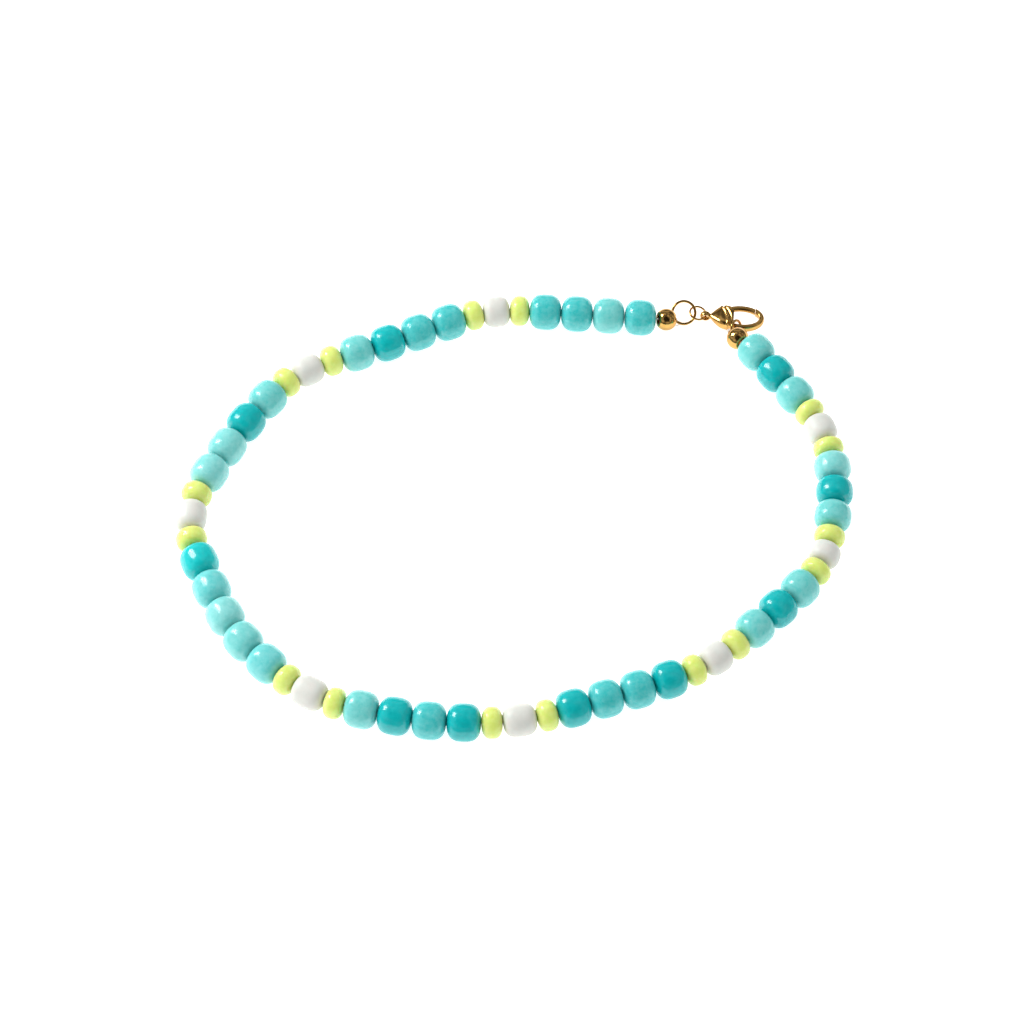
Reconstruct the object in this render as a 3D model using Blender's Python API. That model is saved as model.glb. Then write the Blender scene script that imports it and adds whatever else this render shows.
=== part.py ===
"""A closed choker of drilled glass beads with gold end beads, two wire rings and a lobster clasp, lying flat.

Metres, +Z up. X runs across the necklace, Y away from the side that faces the viewer, and the clasp is at the far
right. The origin is on the surface that it lies on, below the middle of the whole.
"""

import math

import bmesh
import bpy
import numpy as np
from mathutils import Matrix, Vector

# Glass beads
TURQUOISE_DIAMETER = 0.0080
TURQUOISE_LENGTH = 0.00715
WHITE_DIAMETER = 0.00685
WHITE_LENGTH = 0.0064
LIME_DIAMETER = 0.0067
LIME_LENGTH = 0.00445
BEAD_SIDES = 12
SPACER_NECK = 0.8

# Gold end beads
GOLD_BEAD_DIAMETER = 0.0050
GOLD_BEAD_LENGTH = 0.0038
GOLD_BEAD_BORE = 0.0022
GOLD_BEAD_SIDES = 14

# Thread, and the loop that it makes round a ring at each end
THREAD_DIAMETER = 0.0004
THREAD_SIDES = 6
BORE_CLEARANCE = 0.0004
LOOP_CLEARANCE = 0.00025
LOOP_REACH_1 = 0.00245
LOOP_REACH_2 = 0.0014
LOOP_START = -200.0
LOOP_SWEEP = 220.0
LOOP_STEPS = 8
LOOP_TUCK = 0.0008

# Room left between two solids that touch on the real necklace, and between the two runs of a thread loop
TOUCH_GAP = 0.0003
THREAD_GAP = 0.0003

# Wire rings: diameters are over the wire's centre line
JUMP_RING_DIAMETER = 0.0051
JUMP_WIRE = 0.0006
SMALL_RING_DIAMETER = 0.0036
SMALL_WIRE = 0.0004
SMALL_RING_INSET = 0.0006
END_RING_DIAMETER = 0.0036
END_WIRE = 0.00055
RING_SEGMENTS = 20
WIRE_SIDES = 6

# Clasp. Lengths run along it from the centre of its eye, and widths are across it in the plane of its hook
EYE_DIAMETER = 0.0024
EYE_WIDTH = 0.0012
EYE_BORE = 0.0015
HOOK_END = 0.0131
HOOK_WIDTH = 0.0065
HOOK_BAND = 0.0010
BAND_CORNER = 0.28
HOOK_THICKNESS = 0.0016
HOOK_MIDDLE = 0.0081
HOOK_ROOT_ANGLE = 212.0
HOOK_TIP_ANGLE = 418.0
HOOK_STEPS = 15
BODY_LENGTH = 0.0063
BODY_WIDTH = 0.0066
BODY_THICKNESS = 0.0028
BODY_SIDES = 14
CHEEK_END = 0.0057
LEVER_THICKNESS = 0.0010
LEVER_TIP_ANGLE = 44.0
LEVER_REACH = 0.0063
TIP_PATH_START = -26.0
TIP_PATH_END = 30.0
LEVER_ROOT_ANGLE = 128.0
LEVER_STEPS = 8
LEVER_HUB = 0.0017
HUB_START = 150.0
HUB_SWEEP = 160.0
HUB_STEPS = 6
LEVER_GAP = 0.00025
TAB_WIDTH = 0.0010
TAB_REACH = 0.0011
PIN_DIAMETER = 0.0006
PIN_INSET = 0.0012
PIN_CLEARANCE = 0.00008

# A bead's turned outline: along its half length, and out from its axis, as shares of its half length and radius
BEAD_PROFILE = ((-0.92, 0.55), (-0.75, 0.83), (-0.30, 1.0), (0.30, 1.0), (0.75, 0.83), (0.92, 0.55))

# The clasp's body: place along its length, and its half width and half thickness, as shares of the named sizes
BODY_SECTIONS = (
    (0.067, 0.15, 0.30),
    (0.178, 0.17, 0.36),
    (0.256, 0.32, 0.46),
    (0.367, 0.55, 0.62),
    (0.511, 0.79, 0.82),
    (0.656, 0.95, 0.96),
    (0.744, 1.00, 1.00),
    (0.822, 0.95, 0.80),
    (0.930, 0.90, 0.68),
    (1.000, 0.80, 0.62),
)

# The string, from the clasp's eye round to its hook. The beads are hand made and vary a little in length.
# Shades of the turquoise beads of a run (l light, m middle, d dark), the share of the named length that they have,
# and the share of their named lengths that the lime, white and lime beads after them have
STRING = (
    ("mlmm", 0.990, 0.980),
    ("mmdl", 1.020, 1.065),
    ("ldll", 1.060, 1.080),
    ("dmllm", 1.040, 1.050),
    ("ldmd", 1.000, 1.040),
    ("dmmd", 0.980, 1.000),
    ("ldl", 0.975, 0.880),
    ("ldl", 0.885, 0.935),
    ("ldl", 0.990, 0.0),
)

# Where the string lies, in metres: from the first gold bead leftwards, round and back to the second one
ROUTE = (
    (0.0346, 0.0476),
    (0.0170, 0.0492),
    (-0.0010, 0.0504),
    (-0.0118, 0.0474),
    (-0.0321, 0.0392),
    (-0.0431, 0.0356),
    (-0.0517, 0.0271),
    (-0.0601, 0.0145),
    (-0.0676, -0.0036),
    (-0.0619, -0.0220),
    (-0.0550, -0.0349),
    (-0.0408, -0.0478),
    (-0.0299, -0.0515),
    (-0.0159, -0.0545),
    (0.0027, -0.0547),
    (0.0205, -0.0498),
    (0.0337, -0.0455),
    (0.0436, -0.0409),
    (0.0521, -0.0333),
    (0.0622, -0.0238),
    (0.0678, -0.0155),
    (0.0713, 0.0008),
    (0.0696, 0.0168),
    (0.0642, 0.0263),
    (0.0543, 0.0411),
)

# Directions at the clasp. The jump ring's far edge is raised from the surface by this angle
JUMP_RING_TILT = math.radians(33.0)
JUMP_RING_LOOP_ANGLE = math.radians(240.0)
JUMP_RING_LINK_ANGLE = math.radians(-2.0)
SMALL_RING_TILT = math.radians(10.0)
SMALL_RING_EYE_ANGLE = math.radians(-18.0)
CLASP_HEADING = math.radians(-6.5)
GOLD_BEAD_1_OFFSET = Vector((0.97, 0.05, -0.23)).normalized()
GOLD_BEAD_1_AXIS = Vector((0.97, 0.12, -0.19)).normalized()
LOOP_1_DIRECTION = Vector((0.40, 0.30, -0.87)).normalized()
GOLD_BEAD_2_AXIS = Vector((-0.53, 0.82, -0.20)).normalized()
GOLD_BEAD_2_OFFSET = Vector((0.80, -0.52, 0.26)).normalized()
LOOP_2_DIRECTION = Vector((-0.10, 0.90, -0.42)).normalized()
END_RING_REACH = Vector((-0.62, -0.66, 0.42)).normalized()
END_RING_FACING = Vector((0.85, -0.30, 0.35))
END_RING_INSET = 0.00035
END_RING_FROM_BODY = 0.00095

COLOURS = {
    "turquoise_l": (0.24, 0.66, 0.63, 1.0),
    "turquoise_m": (0.10, 0.49, 0.50, 1.0),
    "turquoise_d": (0.01, 0.42, 0.43, 1.0),
    "spacer": (0.72, 0.86, 0.25, 1.0),
    "gold": (0.72, 0.48, 0.18, 1.0),
    "thread": (0.85, 0.86, 0.84, 1.0),
}


def clear_scene():
    """Remove every object that the file opens with."""
    for item in list(bpy.data.objects):
        bpy.data.objects.remove(item, do_unlink=True)


def material(name, colour, roughness, metallic=0.0):
    """A plain Principled material, made once for each name."""
    found = bpy.data.materials.get(name)
    if found is not None:
        return found
    made = bpy.data.materials.new(name)
    made.use_nodes = True
    shader = made.node_tree.nodes["Principled BSDF"]
    shader.inputs["Base Color"].default_value = colour
    shader.inputs["Roughness"].default_value = roughness
    shader.inputs["Metallic"].default_value = metallic
    return made


def glass(name):
    """The finish of the coloured glass beads."""
    return material(name, COLOURS[name], 0.15)


def gold():
    """The finish of every metal piece."""
    return material("polished_gold", COLOURS["gold"], 0.12, 1.0)


def mesh_of(name, points, faces):
    """A mesh from points and faces, with its normals facing out and its round parts shaded smooth."""
    mesh = bpy.data.meshes.new(name)
    mesh.from_pydata([tuple(point) for point in points], [], faces)
    work = bmesh.new()
    work.from_mesh(mesh)
    bmesh.ops.recalc_face_normals(work, faces=work.faces)
    work.to_mesh(mesh)
    work.free()
    mesh.shade_smooth()
    mesh.set_sharp_from_angle(angle=math.radians(40.0))
    return mesh


def add_object(name, mesh, finish, parent, place=None):
    """One named object of the necklace, under its parent."""
    if not mesh.materials:
        mesh.materials.append(finish)
    made = bpy.data.objects.new(name, mesh)
    bpy.context.scene.collection.objects.link(made)
    made.parent = parent
    if place is not None:
        made.matrix_world = place
    return made


def add_guide(name, mesh, parent, place=None):
    """A hidden object that a modifier reads."""
    made = bpy.data.objects.new(name, mesh)
    bpy.context.scene.collection.objects.link(made)
    made.parent = parent
    made.hide_render = True
    made.display_type = "WIRE"
    if place is not None:
        made.matrix_world = place
    return made


def combine(target, guide, operation):
    """A Boolean modifier on the target."""
    change = target.modifiers.new(guide.name, "BOOLEAN")
    change.operation = operation
    change.solver = "EXACT"
    change.object = guide


def ring_grid(count, sides, closed):
    """Faces of a surface through rings of points, joined end to end or capped at both ends."""
    faces = []
    for row in range(count if closed else count - 1):
        after = (row + 1) % count
        for side in range(sides):
            step = (side + 1) % sides
            faces.append((row * sides + side, row * sides + step, after * sides + step, after * sides + side))
    if not closed:
        faces.append(tuple(reversed(range(sides))))
        faces.append(tuple(range((count - 1) * sides, count * sides)))
    return faces


def turned_ring(centre, axis, radius, sides):
    """A polygon round a level axis whose flats touch the circle and whose lowest flat is level."""
    across = Vector((-axis.y, axis.x, 0.0)).normalized()
    upward = axis.cross(across).normalized()
    corner = radius / math.cos(math.pi / sides)
    angles = [math.pi * (2 * side + 1) / sides - math.pi / 2 for side in range(sides)]
    return [centre + corner * (math.cos(turn) * across + math.sin(turn) * upward) for turn in angles]


def beads_mesh(name, joints, sizes, bore_radius, sides):
    """Touching beads turned round the chords between their joints, drilled through, as one closed body.

    The outer rings run from the first bead's end to the last one's, and the bore's rings run back.
    """
    chords = [(joints[i + 1] - joints[i]).normalized() for i in range(len(sizes))]
    ends = [joints[0] + chords[0] * TOUCH_GAP / 2, *joints[1:-1], joints[-1] - chords[-1] * TOUCH_GAP / 2]
    turns = [chords[0]]
    turns += [(chords[i] + chords[i + 1]).normalized() for i in range(len(chords) - 1)]
    turns.append(chords[-1])
    outer = []
    for i, diameter in enumerate(sizes):
        middle = (ends[i] + ends[i + 1]) / 2
        half = (ends[i + 1] - ends[i]).length / 2
        for along, out in BEAD_PROFILE:
            outer.append(turned_ring(middle + chords[i] * half * along, chords[i], diameter / 2 * out, sides))
        if i + 1 < len(sizes):
            neck = min(sizes) / 2 * BEAD_PROFILE[0][1] * SPACER_NECK
            outer.append(turned_ring(ends[i + 1], turns[i + 1], neck, sides))
    bore = [turned_ring(ends[i], turns[i], bore_radius, sides) for i in range(len(ends))]
    rings = outer + bore[::-1]
    points = [point for ring in rings for point in ring]
    return mesh_of(name, points, ring_grid(len(rings), sides, True))


def smooth_route(points, steps=24):
    """A Catmull-Rom curve through the points, as an array of points close together."""
    points = np.asarray(points)
    before = 2 * points[0] - points[1]
    after = 2 * points[-1] - points[-2]
    padded = np.vstack([before, points, after])
    share = np.linspace(0.0, 1.0, steps, endpoint=False)[:, None]
    spans = []
    for i in range(len(points) - 1):
        a, b, c, d = padded[i : i + 4]
        square = 2 * a - 5 * b + 4 * c - d
        cube = 3 * b - a - 3 * c + d
        spans.append(0.5 * (2 * b + (c - a) * share + square * share**2 + cube * share**3))
    return np.vstack([*spans, points[-1:]])


def route_length(curve):
    """The length of a route given as close points."""
    return float(np.linalg.norm(np.diff(curve, axis=0), axis=1).sum())


def fitted_route(start, end, length):
    """The route between the clasp's two sides, swelled or shrunk as a loop until the string just fits it."""
    route = np.asarray(ROUTE)
    share = np.linspace(0.0, 1.0, len(route))[:, None]
    offsets = route - (route[0] * (1 - share) + route[-1] * share)
    line = np.array(start[:2]) * (1 - share) + np.array(end[:2]) * share
    low, high = 0.3, 3.0
    for _ in range(40):
        scale = (low + high) / 2
        curve = smooth_route(line + scale * offsets)
        if route_length(curve) < length:
            low = scale
        else:
            high = scale
    return curve


def string_beads():
    """The beads in order: kind, shade, length and diameter of each."""
    beads = []
    for shades, share, spacer_share in STRING:
        beads += [("turquoise", shade, TURQUOISE_LENGTH * share, TURQUOISE_DIAMETER) for shade in shades]
        if spacer_share:
            lime = ("lime", "", LIME_LENGTH * spacer_share, LIME_DIAMETER)
            beads += [lime, ("white", "", WHITE_LENGTH * spacer_share, WHITE_DIAMETER), lime]
    return beads


def string_joints(curve, beads, height):
    """The points where the string's beads meet, at the height of their holes."""
    along = np.concatenate([[0.0], np.cumsum(np.linalg.norm(np.diff(curve, axis=0), axis=1))])
    wanted = np.concatenate([[0.0], np.cumsum([length for _, _, length, _ in beads])])
    x = np.interp(wanted, along, curve[:, 0])
    y = np.interp(wanted, along, curve[:, 1])
    return [Vector((float(a), float(b), height)) for a, b in zip(x, y)]


def thread_loop(mouth, eye, normal, wire, inward):
    """A loop of thread out of a gold bead's mouth, round a ring's wire at the eye, and back into the mouth.

    The points start at the bead's far mouth, run beside its axis, and end inside the near mouth.
    """
    radius = (wire + THREAD_DIAMETER) / 2 + LOOP_CLEARANCE
    down = (eye - mouth).normalized()
    normal = (normal - down * normal.dot(down)).normalized()
    side = down.cross(normal).normalized()
    spread = (THREAD_DIAMETER + THREAD_GAP) / 2
    inner = mouth + inward * LOOP_TUCK
    points = [mouth + inward * GOLD_BEAD_LENGTH, inner - side * spread, mouth - side * spread]
    for step in range(LOOP_STEPS + 1):
        turn = math.radians(LOOP_START + LOOP_SWEEP * step / LOOP_STEPS)
        points.append(eye + radius * (math.cos(turn) * side - math.sin(turn) * down))
    points += [mouth + side * spread, inner + side * spread]
    return points


def tube_object(name, points, thickness, sides, finish, parent):
    """A thread or wire as a curve with a round bevel and closed ends."""
    curve = bpy.data.curves.new(name, "CURVE")
    curve.dimensions = "3D"
    curve.bevel_depth = thickness / 2
    curve.bevel_resolution = (sides - 4) // 2
    curve.use_fill_caps = True
    line = curve.splines.new("POLY")
    line.points.add(len(points) - 1)
    for spot, point in zip(line.points, points):
        spot.co = (*point, 1.0)
    curve.materials.append(finish)
    made = bpy.data.objects.new(name, curve)
    bpy.context.scene.collection.objects.link(made)
    made.parent = parent
    return made


def ring_object(name, centre, normal, diameter, wire, parent):
    """A closed wire ring standing in the plane with this normal."""
    points = []
    for segment in range(RING_SEGMENTS):
        turn = 2 * math.pi * segment / RING_SEGMENTS
        for side in range(WIRE_SIDES):
            bend = 2 * math.pi * side / WIRE_SIDES
            out = diameter / 2 + wire / 2 * math.cos(bend)
            points.append((out * math.cos(turn), out * math.sin(turn), wire / 2 * math.sin(bend)))
    mesh = mesh_of(name, points, ring_grid(RING_SEGMENTS, WIRE_SIDES, True))
    place = Matrix.Translation(centre) @ normal.to_track_quat("Z", "X").to_matrix().to_4x4()
    return add_object(name, mesh, gold(), parent, place)


def gold_bead_object(name, centre, axis, parent):
    """A round gold bead with flat ends and a wide hole."""
    rings = []
    half = GOLD_BEAD_LENGTH / 2
    radius = GOLD_BEAD_DIAMETER / 2
    for along in (-1.0, -0.75, -0.4, 0.0, 0.4, 0.75, 1.0):
        out = math.sqrt(max(radius**2 - (along * half) ** 2, 0.0))
        rings.append((along * half, out))
    rings += [(half, GOLD_BEAD_BORE / 2), (-half, GOLD_BEAD_BORE / 2)]
    points = []
    for along, out in rings:
        for side in range(GOLD_BEAD_SIDES):
            turn = 2 * math.pi * side / GOLD_BEAD_SIDES
            points.append((along, out * math.cos(turn), out * math.sin(turn)))
    mesh = mesh_of(name, points, ring_grid(len(rings), GOLD_BEAD_SIDES, True))
    place = Matrix.Translation(centre) @ axis.to_track_quat("X", "Z").to_matrix().to_4x4()
    return add_object(name, mesh, gold(), parent, place)


def hook_centre_line(degrees):
    """A point of the hook's oval centre line, in the clasp's own plane."""
    turn = math.radians(degrees)
    reach = HOOK_END - HOOK_BAND / 2 - HOOK_MIDDLE
    half_width = (HOOK_WIDTH - HOOK_BAND) / 2
    return Vector((HOOK_MIDDLE + reach * math.cos(turn), half_width * math.sin(turn), 0.0))


def hook_across(degrees):
    """The outward direction across the band at a point of its centre line."""
    along = hook_centre_line(degrees + 0.5) - hook_centre_line(degrees - 0.5)
    return Vector((along.y, -along.x, 0.0)).normalized()


def band_mesh(name, angles, band, thickness):
    """A bar along the hook's oval, with an eight-sided section whose corners are cut."""
    flat = 0.5 - BAND_CORNER
    upper = [(0.5, flat), (flat, 0.5), (-flat, 0.5), (-0.5, flat)]
    section = upper + [(-out, -up) for out, up in upper]
    points = []
    for degrees in angles:
        centre = hook_centre_line(degrees)
        across = hook_across(degrees)
        points += [centre + across * band * out + Vector((0, 0, thickness * up)) for out, up in section]
    return mesh_of(name, points, ring_grid(len(angles), len(section), False))


def body_mesh():
    """The clasp's drop-shaped body, lofted through oval sections."""
    points = []
    for along, wide, thick in BODY_SECTIONS:
        for side in range(BODY_SIDES):
            turn = 2 * math.pi * side / BODY_SIDES
            points.append(
                (
                    along * BODY_LENGTH,
                    wide * BODY_WIDTH / 2 * math.cos(turn),
                    thick * BODY_THICKNESS / 2 * math.sin(turn),
                )
            )
    return mesh_of("clasp_body", points, ring_grid(len(BODY_SECTIONS), BODY_SIDES, False))


def cylinder_mesh(name, radius, length, sides, turn=None):
    """A closed cylinder round its own centre, along Z unless turned."""
    mesh = bpy.data.meshes.new(name)
    work = bmesh.new()
    bmesh.ops.create_cone(
        work, cap_ends=True, segments=sides, radius1=radius, radius2=radius, depth=length, matrix=turn or Matrix()
    )
    work.to_mesh(mesh)
    work.free()
    mesh.shade_smooth()
    mesh.set_sharp_from_angle(angle=math.radians(40.0))
    return mesh


def plate_mesh(name, outline, thickness):
    """A flat plate with this outline, centred in its thickness."""
    count = len(outline)
    points = [(x, y, -thickness / 2) for x, y in outline] + [(x, y, thickness / 2) for x, y in outline]
    return mesh_of(name, points, ring_grid(2, count, False))


def box_outline(low_x, high_x, low_y, high_y):
    """The corners of a rectangle in the clasp's own plane."""
    return [(low_x, low_y), (high_x, low_y), (high_x, high_y), (low_x, high_y)]


def arc(radius, start, end, steps=8):
    """Points on an arc round the origin between two angles in degrees."""
    turns = [math.radians(start + (end - start) * step / steps) for step in range(steps + 1)]
    return [(radius * math.cos(turn), radius * math.sin(turn)) for turn in turns]


def pin_place():
    """The lever pin's axis in the clasp's own plane, inside the body's edge at its widest."""
    rim = max(BODY_SECTIONS, key=lambda row: row[1])[0] * BODY_LENGTH
    return Vector((rim, BODY_WIDTH / 2 - PIN_INSET, 0.0))


def lever_outline():
    """The lever from above: its bar along the hook's oval, the thumb tab and a round hub on the pin."""
    pivot = pin_place()
    span = LEVER_ROOT_ANGLE - LEVER_TIP_ANGLE
    angles = [LEVER_TIP_ANGLE + span * step / LEVER_STEPS for step in range(LEVER_STEPS + 1)]
    outer = [hook_centre_line(a) + hook_across(a) * HOOK_BAND / 2 for a in angles]
    inner = [hook_centre_line(a) - hook_across(a) * HOOK_BAND / 2 for a in angles]
    top = pivot.y + TAB_REACH
    tab = [
        Vector((pivot.x + TAB_WIDTH * 0.50, top - TAB_WIDTH * 0.2, 0.0)),
        Vector((pivot.x + TAB_WIDTH * 0.20, top, 0.0)),
        Vector((pivot.x - TAB_WIDTH * 0.20, top, 0.0)),
        Vector((pivot.x - TAB_WIDTH * 0.50, top - TAB_WIDTH * 0.3, 0.0)),
    ]
    hub = []
    for step in range(HUB_STEPS + 1):
        turn = math.radians(HUB_START + HUB_SWEEP * step / HUB_STEPS)
        hub.append(pivot + LEVER_HUB / 2 * Vector((math.cos(turn), math.sin(turn), 0.0)))
    return [(spot.x, spot.y) for spot in [*outer, *tab, *hub, *inner[::-1]]]


def add_clasp(parent, frame):
    """The clasp's cast body, its lever and the pin that the lever turns on."""
    body = add_object("clasp_body", body_mesh(), gold(), parent, frame)
    pivot = pin_place()
    on_pin = frame @ Matrix.Translation(pivot)
    crossways = Matrix.Rotation(math.pi / 2, 4, "X")
    through = BODY_THICKNESS * 2

    gate_low = HOOK_WIDTH / 2 - HOOK_BAND * 1.5 - LEVER_GAP
    gate = box_outline(CHEEK_END, HOOK_END, gate_low, HOOK_WIDTH)
    slot_low = pivot.y - LEVER_HUB / 2 - LEVER_GAP
    slot_back = pivot.x - LEVER_HUB / 2 - LEVER_GAP
    slot = box_outline(slot_back, BODY_LENGTH + LEVER_GAP, slot_low, HOOK_WIDTH)
    tip_path = arc(LEVER_REACH + LEVER_GAP, TIP_PATH_START, TIP_PATH_END)
    tip_path += arc(LEVER_REACH - 2 * HOOK_BAND, TIP_PATH_END, TIP_PATH_START)
    turns = HOOK_TIP_ANGLE - HOOK_ROOT_ANGLE
    angles = [HOOK_ROOT_ANGLE + turns * step / HOOK_STEPS for step in range(HOOK_STEPS + 1)]
    pin_hole = PIN_DIAMETER / 2 + PIN_CLEARANCE

    changes = (
        ("pin_hole_guide", cylinder_mesh("pin_hole_guide", pin_hole, through, 10), on_pin, "DIFFERENCE"),
        ("gate_guide", plate_mesh("gate_guide", gate, through), frame, "DIFFERENCE"),
        ("hook_guide", band_mesh("hook_guide", angles, HOOK_BAND, HOOK_THICKNESS), frame, "UNION"),
        ("tip_path_guide", plate_mesh("tip_path_guide", tip_path, through), on_pin, "DIFFERENCE"),
        ("eye_guide", cylinder_mesh("eye_guide", EYE_DIAMETER / 2, EYE_WIDTH, 14, crossways), frame, "UNION"),
        ("slot_guide", plate_mesh("slot_guide", slot, LEVER_THICKNESS + 2 * LEVER_GAP), frame, "DIFFERENCE"),
        ("bore_guide", cylinder_mesh("bore_guide", EYE_BORE / 2, EYE_WIDTH * 2, 12, crossways), frame, "DIFFERENCE"),
    )
    for name, mesh, place, operation in changes:
        combine(body, add_guide(name, mesh, parent, place), operation)

    outline = [(x - pivot.x, y - pivot.y) for x, y in lever_outline()]
    lever = add_object("clasp_lever", plate_mesh("clasp_lever", outline, LEVER_THICKNESS), gold(), parent, on_pin)
    hub_hole = add_guide("hub_hole_guide", cylinder_mesh("hub_hole_guide", pin_hole, through, 10), parent, on_pin)
    combine(lever, hub_hole, "DIFFERENCE")
    reach = add_guide("reach_guide", cylinder_mesh("reach_guide", LEVER_REACH, through, 48), parent, on_pin)
    combine(lever, reach, "INTERSECT")
    pin_mesh = cylinder_mesh("lever_pin", PIN_DIAMETER / 2, BODY_THICKNESS, 10)
    add_object("lever_pin", pin_mesh, gold(), parent, on_pin)


def add_beads(name, joints, sizes, finish, parent):
    """One bead or touching beads, with the object's own X along them and its place at their middle."""
    run = joints[-1] - joints[0]
    place = Matrix.Translation((joints[0] + joints[-1]) / 2) @ Matrix.Rotation(math.atan2(run.y, run.x), 4, "Z")
    local = [place.inverted() @ joint for joint in joints]
    mesh = beads_mesh(name, local, sizes, THREAD_DIAMETER / 2 + BORE_CLEARANCE, BEAD_SIDES)
    return add_object(name, mesh, finish, parent, place)


def add_string(parent, joints, beads):
    """Every glass bead: the turquoise ones singly, and each lime, white and lime group as one body."""
    turquoise_count = 0
    spacer_count = 0
    for i, (kind, shade, _, diameter) in enumerate(beads):
        if kind == "turquoise":
            turquoise_count += 1
            name = f"turquoise_{turquoise_count:02d}"
            add_beads(name, joints[i : i + 2], [diameter], glass(f"turquoise_{shade}"), parent)
        if kind == "white":
            spacer_count += 1
            sizes = [bead[3] for bead in beads[i - 1 : i + 2]]
            add_beads(f"spacers_{spacer_count:02d}", joints[i - 1 : i + 3], sizes, glass("spacer"), parent)


def lowest_middle(items):
    """The lowest height and the middle of the box round some objects, as Blender shows them."""
    graph = bpy.context.evaluated_depsgraph_get()
    points = []
    for item in items:
        shown = item.evaluated_get(graph)
        points += [shown.matrix_world @ vertex.co for vertex in shown.data.vertices]
    points = np.array(points)
    low = points.min(axis=0)
    high = points.max(axis=0)
    return Vector(((low[0] + high[0]) / 2, (low[1] + high[1]) / 2, low[2]))


def build():
    """Build the necklace from its first gold bead, through the clasp, to the second, and string the beads between."""
    clear_scene()
    root = bpy.data.objects.new("necklace", None)
    bpy.context.scene.collection.objects.link(root)

    height = TURQUOISE_DIAMETER / 2
    start = Vector((*ROUTE[0], height))
    beside_glass = GOLD_BEAD_LENGTH / 2 + TOUCH_GAP * 1.5
    gold_1 = start + GOLD_BEAD_1_OFFSET * beside_glass
    mouth_1 = gold_1 + GOLD_BEAD_1_AXIS * GOLD_BEAD_LENGTH / 2
    ring_eye_1 = mouth_1 + LOOP_1_DIRECTION * LOOP_REACH_1

    ring_side = Vector((1.0, 0.0, 0.0))
    ring_rise = Vector((0.0, math.cos(JUMP_RING_TILT), math.sin(JUMP_RING_TILT)))

    def on_jump_ring(angle):
        return JUMP_RING_DIAMETER / 2 * (math.cos(angle) * ring_side + math.sin(angle) * ring_rise)

    jump_centre = ring_eye_1 - on_jump_ring(JUMP_RING_LOOP_ANGLE)
    jump_tangent = -math.sin(JUMP_RING_LOOP_ANGLE) * ring_side + math.cos(JUMP_RING_LOOP_ANGLE) * ring_rise
    link = jump_centre + on_jump_ring(JUMP_RING_LINK_ANGLE)

    small_along = Vector((math.cos(SMALL_RING_TILT), 0.0, -math.sin(SMALL_RING_TILT)))
    small_across = Vector((0.0, 1.0, 0.0))
    small_centre = link + small_along * SMALL_RING_INSET
    to_eye = math.cos(SMALL_RING_EYE_ANGLE) * small_along + math.sin(SMALL_RING_EYE_ANGLE) * small_across
    clasp_eye = small_centre + to_eye * SMALL_RING_DIAMETER / 2
    frame = Matrix.Translation(clasp_eye) @ Matrix.Rotation(CLASP_HEADING, 4, "Z")

    near_band = HOOK_BAND / 2 - HOOK_WIDTH / 2
    held = frame @ Vector((BODY_LENGTH + END_RING_FROM_BODY, near_band, 0.0))
    end_centre = held + END_RING_REACH * END_RING_INSET
    end_normal = (END_RING_FACING - END_RING_REACH * END_RING_FACING.dot(END_RING_REACH)).normalized()
    ring_eye_2 = end_centre + END_RING_REACH * END_RING_DIAMETER / 2
    end_tangent = END_RING_REACH.cross(end_normal)
    mouth_2 = ring_eye_2 - LOOP_2_DIRECTION * LOOP_REACH_2
    gold_2 = mouth_2 - GOLD_BEAD_2_AXIS * GOLD_BEAD_LENGTH / 2
    end = gold_2 + GOLD_BEAD_2_OFFSET * beside_glass
    end.z = height

    beads = string_beads()
    curve = fitted_route(start, end, sum(length for _, _, length, _ in beads))
    joints = string_joints(curve, beads, height)
    add_string(root, joints, beads)
    gold_bead_object("gold_bead_01", gold_1, GOLD_BEAD_1_AXIS, root)
    gold_bead_object("gold_bead_02", gold_2, GOLD_BEAD_2_AXIS, root)

    loop_1 = thread_loop(mouth_1, ring_eye_1, jump_tangent, JUMP_WIRE, -GOLD_BEAD_1_AXIS)
    loop_2 = thread_loop(mouth_2, ring_eye_2, end_tangent, END_WIRE, -GOLD_BEAD_2_AXIS)
    thread = [*loop_1[::-1], *joints, *loop_2]
    tube_object("thread", thread, THREAD_DIAMETER, THREAD_SIDES, material("thread", COLOURS["thread"], 0.3), root)

    jump_normal = ring_side.cross(ring_rise)
    ring_object("jump_ring", jump_centre, jump_normal, JUMP_RING_DIAMETER, JUMP_WIRE, root)
    small_normal = small_along.cross(small_across)
    ring_object("small_ring", small_centre, small_normal, SMALL_RING_DIAMETER, SMALL_WIRE, root)
    ring_object("end_ring", end_centre, end_normal, END_RING_DIAMETER, END_WIRE, root)
    add_clasp(root, frame)

    bpy.context.view_layer.update()
    shown = [item for item in bpy.data.objects if item.type == "MESH" and not item.hide_render]
    root.location = -lowest_middle(shown)
    bpy.context.view_layer.update()


build()
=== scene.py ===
"""A beaded glass choker with a gold lobster clasp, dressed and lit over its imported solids."""
import logging
import math
from dataclasses import dataclass, field
from enum import Enum

import bpy
import numpy as np
from mathutils import Matrix, Vector


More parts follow.
